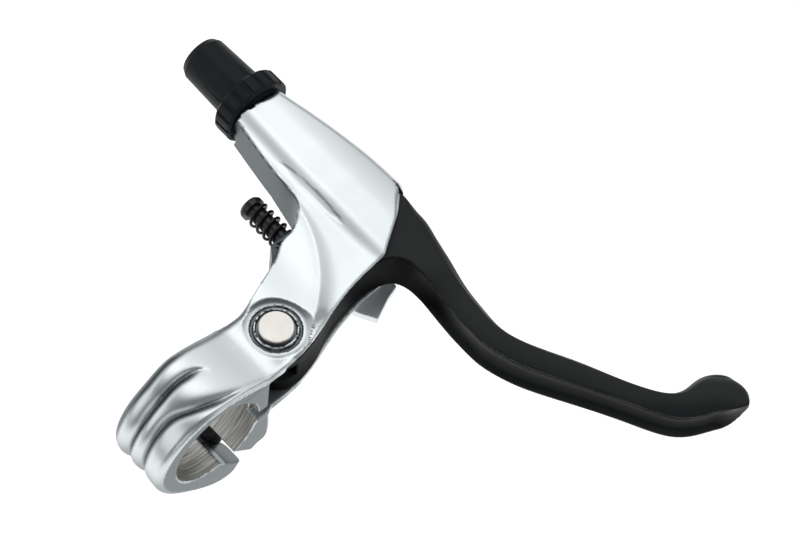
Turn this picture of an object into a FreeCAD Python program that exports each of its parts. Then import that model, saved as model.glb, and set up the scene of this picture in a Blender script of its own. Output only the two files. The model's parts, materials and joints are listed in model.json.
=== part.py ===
import FreeCAD, Part
import Sketcher
import math
import os
import re

# A right-hand brake lever for a flat handlebar, in millimetres.
# Origin: centre of the clamp bore, halfway along it.
# +X along the bar towards the lever's tip, +Y forward from the bar, +Z up along the pivot axle.

V = FreeCAD.Vector
Rotation = FreeCAD.Rotation
doc = FreeCAD.newDocument("BrakeLever")
sheet = doc.addObject("Spreadsheet::Sheet", "Sizes")

SIZES = [
    ("bar_radius", 11.1, "clamp bore, for a 22.2 mm bar"),
    ("clamp_width", 17.2, "length of the clamp along the bar"),
    ("clamp_wall", 2.9, "clamp wall above the bar"),
    ("clamp_rear_wall", 4.8, "clamp wall behind the bar"),
    ("clamp_edge", 1.5, "rounding of the clamp's two side edges"),
    ("groove_depth", 1.1, "depth of the two grooves round the clamp"),
    ("groove_radius", 1.5, "section radius of the two grooves"),
    ("groove_spacing", 4.1, "distance between the two grooves"),
    ("groove_middle", 0.15, "place of the middle lobe along the clamp"),
    ("gap_width", 3.2, "clamp gap"),
    ("gap_offset", 5.5, "distance of the gap's middle plane from the bar axis"),
    ("bolt_reach", 14.5, "distance of the clamp bolt from the bar axis, along the gap"),
    ("bolt_radius", 2.95, "clamp bolt thread, M6"),
    ("bolt_length", 14.0, "clamp bolt under its head"),
    ("bolt_head_radius", 4.8, "clamp bolt head"),
    ("bolt_head_height", 4.5, "clamp bolt head"),
    ("bolt_socket", 5.0, "clamp bolt socket across flats"),
    ("bolt_seat", 4.4, "bolt seat to the gap's middle plane"),
    ("washer_height", 0.8, "clamp washer"),
    ("washer_radius", 5.2, "clamp washer"),
    ("bolt_fit", 0.05, "radial clearance of the clamp bolt"),
    ("pivot_y", 22.8, "pivot axis ahead of the bar axis"),
    ("bay_height", 12.1, "height of the lever bay"),
    ("bay_floor", -2.8, "upper face of the lower plate"),
    ("top_plate", 1.7, "thickness of the top plate at the pivot"),
    ("lower_plate", 2.7, "thickness of the lower plate"),
    ("underside_edge", 1.8, "bevel round the lower plate"),
    ("top_edge", 1.4, "rounding round the top plate"),
    ("neck_half", 8.2, "half width of the neck at the pivot"),
    ("bay_rear", 13.7, "rear wall of the lever bay ahead of the bar axis"),
    ("spot_face_radius", 7.2, "spot face round the pivot"),
    ("spot_face_depth", 0.55, "depth of the spot face in the top plate"),
    ("boss_ring_radius", 5.5, "raised ring round the axle"),
    ("boss_ring_rise", 0.4, "height of the ring over the spot face"),
    ("axle_recess_radius", 4.65, "recess round the axle's head"),
    ("axle_recess_depth", 0.95, "recess round the axle's head"),
    ("axle_head_radius", 3.85, "axle head"),
    ("axle_head_rise", 0.65, "axle head over the ring"),
    ("axle_head_edge", 0.22, "bevel on the axle head"),
    ("axle_radius", 3.0, "axle shaft"),
    ("axle_fit", 0.02, "radial clearance of the axle in the plates"),
    ("running_fit", 0.05, "radial clearance of turning pieces"),
    ("snap_ring_radius", 4.6, "snap ring outside"),
    ("snap_ring_height", 0.8, "snap ring"),
    ("snap_groove_depth", 0.5, "groove of the snap ring in the axle"),
    ("bushing_wall", 1.0, "bushing wall"),
    ("bushing_length", 2.9, "bushing inside the lever's boss"),
    ("bushing_flange", 0.6, "bushing flange height"),
    ("bushing_flange_radius", 5.6, "bushing flange"),
    ("thrust_washer_height", 0.4, "thrust washers"),
    ("side_play", 0.04, "play between the stacked pieces at the pivot"),
    ("lever_boss_radius", 7.6, "pivot boss of the lever"),
    ("lever_height", 10.0, "height of the lever between its bushings"),
    ("spring_wire", 0.8, "return spring wire"),
    ("spring_radius", 4.7, "return spring, mean radius"),
    ("spring_turns", 3, "return spring"),
    ("spring_leg", 7.6, "return spring, leg in the lever's arm"),
    ("spring_room", 0.5, "room round the return spring"),
    ("nose_end_x", -45.4, "front end of the adjuster nose"),
    ("nose_half", 6.0, "half width of the nose at its end"),
    ("adjuster_y", 57.6, "adjuster axis ahead of the bar axis"),
    ("adjuster_z", 5.0, "adjuster axis height"),
    ("nose_drop", 7.2, "underside of the nose below the adjuster axis"),
    ("stud_radius", 4.0, "threaded stud of the adjuster, M8"),
    ("stud_length", 13.0, "stud inside the nose and ring"),
    ("barrel_length", 14.6, "adjuster barrel"),
    ("barrel_root_radius", 6.0, "adjuster barrel beside the ring"),
    ("barrel_tip_radius", 5.6, "adjuster barrel at its far end"),
    ("barrel_dome", 1.9, "rounded end of the barrel"),
    ("barrel_flutes", 8, "flutes on the barrel"),
    ("flute_radius", 0.5, "section radius of a flute"),
    ("flute_depth", 0.28, "depth of a flute"),
    ("housing_radius", 2.6, "seat for a 5 mm cable housing"),
    ("housing_depth", 8.5, "depth of the housing seat"),
    ("cable_radius", 1.1, "way for the inner cable"),
    ("cable_slot", 2.0, "slot for putting in the cable"),
    ("ring_radius", 8.6, "lock ring"),
    ("ring_height", 4.9, "lock ring"),
    ("ring_lobes", 18, "lobes round the lock ring"),
    ("ring_groove", 0.55, "section radius of the grooves between the lobes"),
    ("ring_hub_radius", 6.8, "serrated hub of the lock ring"),
    ("ring_hub_height", 0.35, "serrated hub of the lock ring"),
    ("ring_gap", 0.5, "gap between barrel and ring"),
    ("reach_y", 41.2, "reach screw ahead of the bar axis"),
    ("reach_z", 3.4, "reach screw height"),
    ("reach_wall_x", -17.7, "outer face of the wall that holds the reach screw"),
    ("reach_wall", 2.4, "thickness of that wall"),
    ("reach_radius", 1.95, "reach screw thread, M4"),
    ("reach_head_radius", 2.85, "reach screw head"),
    ("reach_head_height", 2.0, "reach screw head"),
    ("reach_length", 19.6, "reach screw under its head"),
    ("reach_tip_gap", 0.3, "gap between the reach screw's tip and the lever at rest"),
    ("shin_x", -8.1, "face of the lever's arm that the reach screw stops"),
    ("reach_wire", 0.72, "wire of the spring on the reach screw"),
    ("reach_coils", 4.5, "turns of that spring"),
    ("hook_x", -6.6, "cable hook axis"),
    ("hook_radius", 4.9, "cable hook"),
    ("hook_height", 7.7, "cable hook"),
    ("hook_bottom", -0.95, "underside of the cable hook"),
    ("nipple_radius", 3.6, "seat for a 7 mm barrel nipple"),
    ("nipple_depth", 6.4, "depth of the nipple seat"),
    ("blade_height", 9.4, "height of the blade beside the body"),
    ("blade_width", 6.2, "width of the blade beside the body"),
    ("blade_waist", 0.96, "share of that width and height that the blade keeps near its tip"),
    ("channel_depth", 1.1, "hollow along the blade's rear face"),
]


def write_sizes():
    """Fill the spreadsheet: alias in column A, value in B, meaning in C."""
    for line, (alias, number, meaning) in enumerate(SIZES, start=1):
        sheet.set("A%d" % line, alias)
        sheet.set("B%d" % line, str(number))
        sheet.set("C%d" % line, meaning)
        sheet.setAlias("B%d" % line, alias)
    doc.recompute()


write_sizes()
ALIAS = re.compile(r"\b(%s)\b" % "|".join(alias for alias, _, _ in SIZES))


def size(alias):
    return float(sheet.get(alias))


def bind(target, prop, formula):
    target.setExpression(prop, ALIAS.sub(r"Sizes.\1", formula))


def place(target, x="0", y="0", z="0", turn=None):
    """Give an object its place from the spreadsheet and, where needed, its direction."""
    if turn is not None:
        target.Placement = FreeCAD.Placement(V(), turn)
    for letter, formula in (("x", x), ("y", y), ("z", z)):
        if formula != "0":
            bind(target, ".Placement.Base." + letter, formula)
    return target


def primitive(kind, name, sizes, x="0", y="0", z="0", turn=None):
    solid = doc.addObject("Part::" + kind, name)
    for prop, formula in sizes.items():
        bind(solid, prop, formula)
    return place(solid, x, y, z, turn)


def fuse(name, shapes):
    joined = doc.addObject("Part::MultiFuse", name)
    joined.Shapes = shapes
    return joined


def cut(name, base, tools):
    result = doc.addObject("Part::Cut", name)
    result.Base = base
    result.Tool = tools[0] if len(tools) == 1 else fuse(name + "_tools", tools)
    return result


def feature(name, shape):
    """A form that has no simple feature of its own, held as a shape."""
    holder = doc.addObject("Part::Feature", name)
    holder.Shape = shape
    return holder


def origin_plane(body, role):
    for item in body.Origin.OriginFeatures:
        if item.Role == role:
            return item


def polygon(sketch, corners):
    """Closed outline whose corners are tied to formulas, measured from the sketch's origin."""
    count = len(corners)
    for index in range(count):
        first = 2 * math.pi * index / count
        second = 2 * math.pi * (index + 1) / count
        start = V(20 + 5 * math.cos(first), 20 + 5 * math.sin(first), 0)
        end = V(20 + 5 * math.cos(second), 20 + 5 * math.sin(second), 0)
        sketch.addGeometry(Part.LineSegment(start, end), False)
    for index in range(count):
        sketch.addConstraint(Sketcher.Constraint("Coincident", index, 2, (index + 1) % count, 1))
    for index, (across, along) in enumerate(corners):
        for axis, kind, formula in ((-2, "DistanceX", across), (-1, "DistanceY", along)):
            if formula == "0":
                sketch.addConstraint(Sketcher.Constraint("PointOnObject", index, 1, axis))
            else:
                number = sketch.addConstraint(Sketcher.Constraint(kind, -1, 1, index, 1, 10.0 + index))
                bind(sketch, "Constraints[%d]" % number, formula)


def turned(name, corners):
    """A body of revolution about its own Z axis: corners are (radius, height) formulas."""
    body = doc.addObject("PartDesign::Body", name)
    section = body.newObject("Sketcher::SketchObject", name + "_section")
    section.AttachmentSupport = (origin_plane(body, "XZ_Plane"), [""])
    section.MapMode = "FlatFace"
    polygon(section, corners)
    turn = body.newObject("PartDesign::Revolution", name + "_turn")
    turn.Profile = section
    turn.ReferenceAxis = (section, ["V_Axis"])
    turn.Angle = 360
    body.Tip = turn
    return body


def spline(points):
    curve = Part.BSplineCurve()
    curve.interpolate([V(*point) for point in points])
    return curve.toShape()


def line(start, end):
    return Part.makeLine(V(*start), V(*end))


def prism(edges, travel):
    return Part.Face(Part.Wire(edges)).extrude(V(*travel))


ALONG_BAR = Rotation(V(0, 1, 0), 90)
ACROSS_GAP = Rotation(V(1, 0, 0), -45)
FACING_OUT = Rotation(V(0, 1, 0), -90)
HALF = math.sqrt(0.5)
SLOT_TURN = 215
SPOT_FACE = "bay_floor + bay_height + top_plate - spot_face_depth"

bay_top = size("bay_floor") + size("bay_height")
plate_top = bay_top + size("top_plate")
floor_under = size("bay_floor") - size("lower_plate")
clamp_half = size("clamp_width") / 2
rear = size("bar_radius") + size("clamp_rear_wall")
roof = size("bar_radius") + size("clamp_wall")


# Bracket: bar clamp, neck with the lever bay, and the adjuster nose, in one forging


def housing_outline(height):
    """Outline of neck and nose seen from above, the same for the top and the lower plate."""
    half = size("neck_half")
    pivot = size("pivot_y")
    nose = size("nose_end_x")
    front = size("adjuster_y") + size("nose_half") - 0.6
    back = size("adjuster_y") - size("nose_half") - 1.2
    wall = size("reach_wall_x")
    reach = size("reach_y")
    armpit = reach + 0.56 * (back - reach)
    start = (half + 0.2, 0, height)
    shoulder = (half + 0.1, pivot - 8, height)
    corner = (0.9, 52.6, height)
    brow = (-8.4, 66.8, height)
    crown = (-10.8, 68.4, height)
    flank = spline([shoulder, (half - 0.9, pivot + 2.4, height), (3.5, 37, height), (1.6, 45.5, height),
                    corner])
    front_edge = spline([crown, (-22, 67.6, height), (-36, 65.2, height), (nose, front, height)])
    rear_edge = spline([(nose, back, height), (-35, back - 1.7, height), (-25, back - 2.9, height),
                        (wall - 2.2, armpit, height), (wall, reach + 1.2, height)])
    cheek = spline([(wall, reach - 4.4, height), (wall + 4.0, reach - 7.8, height),
                    (-11.4, pivot + 6.0, height), (-half - 0.9, pivot + 0.6, height),
                    (-half - 0.4, 10, height)])
    return [line(start, shoulder), flank, line(corner, brow), line(brow, crown), front_edge,
            line((nose, front, height), (nose, back, height)), rear_edge,
            line((wall, reach + 1.2, height), (wall, reach - 4.4, height)), cheek,
            line((-half - 0.4, 10, height), (-half - 0.4, 0, height)),
            line((-half - 0.4, 0, height), start)]


def bump(distance, width):
    return math.exp(-(distance / width) ** 2)


def distance_to_path(x, y, path):
    """Distance from a point to a chain of straight runs."""
    nearest = 1000.0
    for (ax, ay), (bx, by) in zip(path, path[1:]):
        run = ((x - ax) * (bx - ax) + (y - ay) * (by - ay)) / ((bx - ax) ** 2 + (by - ay) ** 2)
        run = min(1.0, max(0.0, run))
        nearest = min(nearest, math.hypot(x - ax - run * (bx - ax), y - ay - run * (by - ay)))
    return nearest


CREST = [(-24, 47.4), (-15, 45.0), (-10, 42.5), (-5, 39.0), (0, 35.0), (3, 30.0)]
VALLEY = [(-44, 54.2), (-30, 53.4), (-14, 52.6), (-2, 51.0)]


def top_height(x, y):
    """Height of the sculpted top: a crest from nose to pivot, a hollow beside it, a crowned panel."""
    level = plate_top - 0.3
    level += 0.55 * bump(distance_to_path(x, y, CREST), 2.6)
    level -= 0.65 * bump(distance_to_path(x, y, VALLEY), 2.6)
    level += 0.35 * bump(y - 61, 5.0) * bump(x + 24, 26)
    level -= 0.25 * bump(math.hypot(x - 7.5, y - 17), 3.5)
    return level


def sculpted_tool():
    """Block above the sculpted top, for cutting the housing to height."""
    columns = [-56 + 3.0 * step for step in range(26)]
    rows = [-4 + 3.0 * step for step in range(27)]
    grid = [[V(x, y, top_height(x, y)) for y in rows] for x in columns]
    surface = Part.BSplineSurface()
    surface.interpolate(grid)
    return surface.toShape().extrude(V(0, 0, 12))


def clamp_back(x):
    """Points round the clamp's back, from over the bar to the rear lip."""
    return [(x, 0.5, roof), (x, -7.5, roof - 1.5), (x, -rear + 2.6, 7.6), (x, -rear, 0.6),
            (x, -rear + 2.0, -7.0), (x, -8.6, -13.2), (x, -2.2, -18.0)]


def clamp_profile(x):
    """Section of the clamp across the bar: a round back, and two lips that point down and forward."""
    gap = size("gap_offset")
    reach = size("bolt_reach") + 4.2
    lip_end = []
    for side in (-1, 1):
        across = -gap + side * 3.2
        lip_end.append((x, across * HALF + reach * HALF, across * HALF - reach * HALF))
    saddle = (x, 16.6, plate_top - size("spot_face_depth") - 0.15)
    nape = [saddle, (x, 13.2, saddle[2] + 0.5), (x, 9.5, roof - 1.8)]
    throat = (x, 14.8, -2.9)
    back = spline(nape + clamp_back(x) + [lip_end[0]])
    chin = spline([lip_end[1], (x, 13.4, -14.6), (x, 15.0, -9.0), throat])
    return [back, line(lip_end[0], lip_end[1]), chin, line(throat, saddle)]


def groove_tool(x):
    """Round tool that follows the clamp's back and runs out over the bar."""
    radius = size("groove_radius")
    points = []
    for step, (_, y, z) in enumerate(clamp_back(x)):
        fade = max(0.0, 1 - step / 2.0)
        out = radius - size("groove_depth") + fade * (size("groove_depth") + 0.2)
        stretch = 1 + out / math.hypot(y, z)
        points.append((x, y * stretch, z * stretch))
    path = spline(points + [(x, points[-1][1] + 5.0, points[-1][2] - 3.4)])
    start = V(*points[0])
    ring = Part.Wire(Part.makeCircle(radius, start, path.tangentAt(path.FirstParameter)))
    return Part.Wire(path).makePipeShell([ring], True, True)


def rounded(name, base, edges, radius, kind="Fillet"):
    """Fillet or chamfer on chosen edges of an earlier object."""
    chosen = [number for number, edge in enumerate(base.Shape.Edges, start=1)
              if any(edge.isSame(other) for other in edges)]
    softened = doc.addObject("Part::" + kind, name)
    softened.Base = base
    softened.Edges = [(number, radius, radius) for number in chosen]
    return softened


def edges_where(shape, test):
    return [edge for edge in shape.Edges if test(edge)]


def underside_edges(shape):
    """Edges between the walls and the faces that look down."""
    found = []
    for face in shape.Faces:
        u0, u1, v0, v1 = face.ParameterRange
        if face.normalAt((u0 + u1) / 2, (v0 + v1) / 2).z < -0.3:
            found += [edge for edge in face.OuterWire.Edges if edge.BoundBox.YLength > 1 or edge.Length > 9]
    return found


def bay_outline(height):
    """Outline of the lever bay: open on the lever's side and, at the pivot, on both sides."""
    rear = size("bay_rear")
    inner = size("reach_wall_x") + size("reach_wall")
    window = size("pivot_y") + 5.0
    reach = size("reach_y")
    front = size("adjuster_y") + 9.2
    corners = [(30, rear), (-30, rear), (-30, window), (-9.2, window), (-11.9, reach - 7.8),
               (inner, reach - 3.2), (inner, front - 1.2), (-11, front), (30, front)]
    points = [(x, y, height) for x, y in corners]
    return [line(start, end) for start, end in zip(points, points[1:] + points[:1])]


def make_bracket():
    depth = plate_top + 3 - floor_under
    block = feature("housing_block", prism(housing_outline(floor_under), (0, 0, depth)))
    roof_tool = feature("housing_sculpting", sculpted_tool())
    keel = size("adjuster_z") - size("nose_drop")
    keel_points = [(-60, 0, -20), (-60, 0, keel), (-30, 0, keel), (-20.5, 0, floor_under), (-20.5, 0, -20)]
    keel_edges = [line(start, end) for start, end in zip(keel_points, keel_points[1:] + keel_points[:1])]
    keel_tool = feature("nose_underside", prism(keel_edges, (0, 100, 0)))
    shaped = cut("housing_form", block, [roof_tool, keel_tool])
    doc.recompute()
    top_edges = edges_where(
        shaped.Shape, lambda edge: min(vertex.Z for vertex in edge.Vertexes) > bay_top - 1)
    soft_top = rounded("housing_soft_top", shaped, top_edges, size("top_edge"))
    doc.recompute()
    low_edges = underside_edges(soft_top.Shape)
    soft = rounded("housing_soft", soft_top, low_edges, size("underside_edge"), "Chamfer")
    band = feature("clamp_section", prism(clamp_profile(-clamp_half), (size("clamp_width"), 0, 0)))
    doc.recompute()
    band_edges = edges_where(band.Shape, lambda edge: edge.BoundBox.XLength < 0.001)
    soft_band = rounded("clamp_band", band, band_edges, size("clamp_edge"))
    grooves = []
    for side in (-1, 1):
        groove_x = size("groove_middle") + side * size("groove_spacing") / 2
        grooves.append(feature("clamp_groove_%d" % side, groove_tool(groove_x)))
    spot_face = primitive("Cylinder", "pivot_spot_face", {"Radius": "spot_face_radius", "Height": "5"},
                          y="pivot_y", z=SPOT_FACE)
    faced = cut("housing_faced", soft, [spot_face])
    ring = primitive("Cone", "pivot_ring",
                     {"Radius1": "boss_ring_radius", "Radius2": "boss_ring_radius - boss_ring_rise",
                      "Height": "boss_ring_rise"},
                     y="pivot_y", z=SPOT_FACE)
    wing_plan = [(-4, 56.6), (2.6, 56.0), (3.6, 52.6), (6.0, 47.4), (2.0, 45.0), (-4, 43)]
    wing_points = [(x, y, size("bay_floor") - 1.8) for x, y in wing_plan]
    wing_edges = [line(start, end) for start, end in zip(wing_points, wing_points[1:] + wing_points[:1])]
    wing = feature("lower_wing", prism(wing_edges, (0, 0, -2.4)))
    body = fuse("bracket_body", [faced, soft_band, ring, wing])

    bore = primitive("Cylinder", "bar_bore", {"Radius": "bar_radius", "Height": "clamp_width + 4"},
                     x="-clamp_width / 2 - 2", turn=ALONG_BAR)
    gap = primitive("Box", "clamp_gap", {"Length": "clamp_width + 8", "Width": "40", "Height": "gap_width"},
                    x="-clamp_width / 2 - 4",
                    y="-(gap_offset + gap_width / 2) * sqrt(0.5)",
                    z="-(gap_offset + gap_width / 2) * sqrt(0.5)", turn=ACROSS_GAP)
    bolt_place = {"y": "(bolt_reach - gap_offset) * sqrt(0.5)",
                  "z": "-(bolt_reach + gap_offset) * sqrt(0.5)"}
    thread = primitive("Cylinder", "bolt_thread",
                       {"Radius": "bolt_radius + bolt_fit",
                        "Height": "bolt_length - bolt_seat + washer_height + 20"},
                       turn=ACROSS_GAP, **shifted(bolt_place, "-20"))
    seat = primitive("Cylinder", "bolt_seat", {"Radius": "washer_radius + 0.3", "Height": "20"},
                     turn=ACROSS_GAP, **shifted(bolt_place, "-20 - bolt_seat"))
    bay = feature("lever_bay", prism(bay_outline(size("bay_floor")), (0, 0, size("bay_height"))))
    axle_hole = primitive("Cylinder", "axle_hole", {"Radius": "axle_radius + axle_fit", "Height": "40"},
                          y="pivot_y", z="-20")
    recess = primitive("Cylinder", "axle_recess", {"Radius": "axle_recess_radius", "Height": "10"},
                       y="pivot_y", z=SPOT_FACE + " + boss_ring_rise - axle_recess_depth")
    stud_bore = primitive("Cylinder", "stud_bore", {"Radius": "stud_radius + running_fit", "Height": "40"},
                          x="nose_end_x - 1", y="adjuster_y", z="adjuster_z", turn=ALONG_BAR)
    channel = primitive("Cylinder", "cable_channel", {"Radius": "stud_radius + 0.6", "Height": "19"},
                        x="nose_end_x + stud_length", y="adjuster_y", z="adjuster_z", turn=ALONG_BAR)
    slot = primitive("Box", "cable_slot_nose", {"Length": "32", "Width": "20", "Height": "cable_slot"},
                     x="nose_end_x - 1", y="adjuster_y", z="adjuster_z - cable_slot / 2")
    reach_hole = primitive("Cylinder", "reach_hole", {"Radius": "reach_radius + running_fit", "Height": "8"},
                           x="reach_wall_x - 3", y="reach_y", z="reach_z", turn=ALONG_BAR)
    nipple_way = primitive("Cylinder", "nipple_way", {"Radius": "hook_radius + 0.6", "Height": "10"},
                           x="hook_x", y="adjuster_y", z="bay_floor - 9")
    notch = primitive("Box", "bay_notch", {"Length": "4", "Width": "6", "Height": "2.8"},
                      x="clamp_width / 2 - 3", y="bar_radius - 2.5", z="bay_floor")
    cut("bracket", body, [bore, gap, thread, seat, bay, axle_hole, recess, stud_bore, channel, slot,
                          reach_hole, nipple_way, notch] + grooves)


def shifted(base, travel):
    """A place that lies further along the clamp bolt."""
    return {"y": base["y"] + " + (%s) * sqrt(0.5)" % travel, "z": base["z"] + " + (%s) * sqrt(0.5)" % travel}


# Lever: pivot boss with two ears, head with the hook's bore, and the blade


def lever_outline(height):
    pivot = size("pivot_y")
    radius = size("lever_boss_radius")
    right = (radius * 0.97, pivot + radius * 0.243, height)
    left = (-radius * 0.97, pivot + radius * 0.243, height)
    low = (0, pivot - radius, height)
    boss = Part.Arc(V(*left), V(*low), V(*right)).toShape()
    arm = spline([right, (6.0, 29.6, height), (3.4, 35, height), (1.4, 42, height), (0.6, 48, height),
                  (1.8, 53.2, height), (5.6, 56.0, height), (13, 55.9, height)])
    front = spline([(13, 63.4, height), (4, 65.0, height), (-8, 66.3, height)])
    shin_x = size("shin_x")
    head = spline([(-8, 66.3, height), (-11.6, 64.6, height), (-13.3, 60.5, height), (-13.0, 55, height),
                   (-9.8, 50.5, height), (shin_x, 46, height)])
    shin = spline([(shin_x, 46, height), (shin_x, 36, height), left])
    return [boss, arm, line((13, 55.9, height), (13, 63.4, height)), front, head, shin]


def blade_section(x, y, heading, width, height, middle):
    """Closed section of the blade: crowned top and bottom, full front, hollow rear."""
    turn = math.radians(heading)
    across = V(-math.sin(turn), math.cos(turn), 0)
    centre = V(x, y, middle)
    up = V(0, 0, 1)
    half_w = width / 2
    half_h = height / 2
    rear_top = centre - across * half_w + up * half_h
    front_top = centre + across * half_w + up * (half_h - 0.5)
    front_low = centre + across * half_w - up * (half_h - 0.5)
    rear_low = centre - across * half_w - up * half_h
    crown = up * (half_h + 0.15)
    belly = across * (half_w + 0.9)
    hollow = across * (half_w - size("channel_depth"))
    edges = [Part.Arc(rear_top, centre + crown, front_top), Part.Arc(front_top, centre + belly, front_low),
             Part.Arc(front_low, centre - crown, rear_low), Part.Arc(rear_low, centre - hollow, rear_top)]
    return Part.Wire([edge.toShape() for edge in edges])


def make_lever():
    middle = size("bay_floor") + size("bay_height") / 2
    arm_height = size("bay_height") - 0.7
    low = middle - arm_height / 2
    root = feature("lever_root", prism(lever_outline(low), (0, 0, arm_height)))
    tall = size("blade_height")
    wide = size("blade_width")
    lean = size("blade_waist")
    stations = [(9, 59.8, -8, wide + 0.8, arm_height), (20, 58.3, -5, wide - 0.2, tall),
                (28, 58.0, 4, wide - 0.7, tall), (34.1, 59.4, 18, wide - 0.8, tall * 0.99),
                (41.3, 62.8, 27, wide - 0.6, tall * 0.98), (50.3, 67.7, 28, wide - 1.0, tall * 0.97),
                (58.5, 71.8, 30, wide - 1.4, tall * lean), (64.2, 75.2, 40, wide - 0.8, tall * lean),
                (67.2, 79.4, 54, wide + 1.2, tall * lean), (68.3, 83.0, 64, wide + 2.7, tall * lean),
                (69.3, 86.1, 68, wide + 3.1, tall * lean * 0.97),
                (70.5, 88.5, 69, wide + 2.2, tall * lean * 0.86),
                (71.2, 90.0, 70, wide - 1.2, tall * lean * 0.5)]
    sections = [blade_section(*station, middle) for station in stations]
    blade = feature("lever_blade_form", Part.makeLoft(sections, True, False))
    body = fuse("lever_body", [root, blade])

    ears = []
    for side in (-1, 1):
        start = "bay_floor + bay_height / 2 + %d * (lever_height / 2 + 10) - 10" % side
        ears.append(primitive("Cylinder", "ear_face_%d" % side,
                              {"Radius": "bushing_flange_radius + 0.3", "Height": "20"},
                              y="pivot_y", z=start))
    bore = primitive("Cylinder", "bushing_bore",
                     {"Radius": "axle_radius + running_fit + bushing_wall + 0.01", "Height": "40"},
                     y="pivot_y", z="-20")
    room = "lever_height - 2 * bushing_length"
    spring_room = primitive("Cylinder", "spring_room",
                            {"Radius": "spring_radius + spring_wire / 2 + spring_room", "Height": room},
                            y="pivot_y", z="bay_floor + bay_height / 2 - lever_height / 2 + bushing_length")
    window = primitive("Box", "spring_window", {"Length": "30", "Width": "20", "Height": room},
                       x="-15", y="pivot_y - 20",
                       z="bay_floor + bay_height / 2 - lever_height / 2 + bushing_length")
    leg_groove = primitive("Box", "spring_leg_groove",
                           {"Length": "spring_wire + 2 * spring_room", "Width": "9", "Height": room},
                           x="-spring_radius - spring_wire / 2 - spring_room", y="pivot_y",
                           z="bay_floor + bay_height / 2 - lever_height / 2 + bushing_length")
    hook_bore = primitive("Cylinder", "hook_bore", {"Radius": "hook_radius + running_fit", "Height": "20"},
                          x="hook_x", y="adjuster_y", z="hook_bottom + hook_height - 20")
    cable_way = primitive("Box", "cable_way", {"Length": "20", "Width": "9", "Height": "20"},
                          x="hook_x - 20", y="adjuster_y - 5.5", z="adjuster_z + cable_slot - 20")
    cut("lever_blade", body, ears + [bore, spring_room, window, leg_groove, hook_bore, cable_way])


# Pivot: axle, snap ring, bushings, thrust washers and return spring


def make_pivot():
    head = "axle_recess_depth + axle_head_rise"
    shaft = "bay_height + top_plate - spot_face_depth + boss_ring_rise - axle_recess_depth + lower_plate"
    tail = "snap_ring_height + 0.9"
    shaft_all = "(%s + %s)" % (shaft, tail)
    groove_low = "(%s - snap_ring_height - 0.05)" % tail
    groove = "axle_radius - snap_groove_depth"
    axle = turned("pivot_axle", [
        ("0", "0"), ("axle_radius - 0.4", "0"), ("axle_radius", "0.4"), ("axle_radius", groove_low),
        (groove, groove_low), (groove, groove_low + " + snap_ring_height + 0.05"),
        ("axle_radius", groove_low + " + snap_ring_height + 0.05"), ("axle_radius", shaft_all),
        ("axle_head_radius", shaft_all), ("axle_head_radius", shaft_all + " + %s - axle_head_edge" % head),
        ("axle_head_radius - axle_head_edge", shaft_all + " + " + head), ("0", shaft_all + " + " + head)])
    place(axle, y="pivot_y", z="bay_floor - lower_plate - snap_ring_height - 0.9")

    ring = turned("snap_ring_blank", [
        (groove + " + 0.02", "0"), ("snap_ring_radius", "0"), ("snap_ring_radius", "snap_ring_height"),
        (groove + " + 0.02", "snap_ring_height")])
    mouth = primitive("Box", "snap_ring_mouth", {"Length": "2.6", "Width": "8", "Height": "4"},
                      x="-1.3", y="-8", z="-1")
    clip = cut("axle_snap_ring", ring, [mouth])
    place(clip, y="pivot_y", z="bay_floor - lower_plate - snap_ring_height")

    hole = "axle_radius + running_fit"
    for side, name in ((1, "upper"), (-1, "lower")):
        bushing = turned(name + "_bushing", [
            (hole, "0"), (hole + " + bushing_wall", "0"), (hole + " + bushing_wall", "bushing_length"),
            ("bushing_flange_radius", "bushing_length"),
            ("bushing_flange_radius", "bushing_length + bushing_flange"),
            (hole, "bushing_length + bushing_flange")])
        flip = Rotation(V(1, 0, 0), 0 if side > 0 else 180)
        place(bushing, y="pivot_y",
              z="bay_floor + bay_height / 2 + %d * (lever_height / 2 - bushing_length)" % side, turn=flip)
        washer = turned(name + "_thrust_washer", [
            (hole + " + 0.1", "0"), ("bushing_flange_radius", "0"),
            ("bushing_flange_radius", "thrust_washer_height"),
            (hole + " + 0.1", "thrust_washer_height")])
        stack = "lever_height / 2 + bushing_flange + side_play"
        place(washer, y="pivot_y", z="bay_floor + bay_height / 2 + %d * (%s)" % (side, stack), turn=flip)


def make_return_spring():
    """Left-handed coil of half turns with a straight leg at each end: rear wall and lever's arm."""
    wire = size("spring_wire")
    radius = size("spring_radius")
    pivot = size("pivot_y")
    half_turns = 2 * int(size("spring_turns"))
    rise = size("lever_height") - 2 * size("bushing_length") - wire - 0.5
    climb = rise / half_turns
    bow = math.hypot(radius, climb / 2)
    level = size("bay_floor") + size("bay_height") / 2 - rise / 2
    foot = (-radius, size("bay_rear") + 0.3, level)
    path = [line(foot, (-radius, pivot, level))]
    for half_turn in range(half_turns):
        side = 1 if half_turn % 2 else -1
        middle = V(0, pivot - side * bow, level + climb / 2)
        arc = Part.Arc(V(side * radius, pivot, level), middle, V(-side * radius, pivot, level + climb))
        path.append(arc.toShape())
        level += climb
    path.append(line((-radius, pivot, level), (-radius, pivot + size("spring_leg"), level)))
    ring = Part.Wire(Part.makeCircle(wire / 2, V(*foot), V(0, 1, 0)))
    feature("return_spring", Part.Wire(path).makePipeShell([ring], True, False))


# Clamp bolt and washer, both along the bolt's own axis


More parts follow.
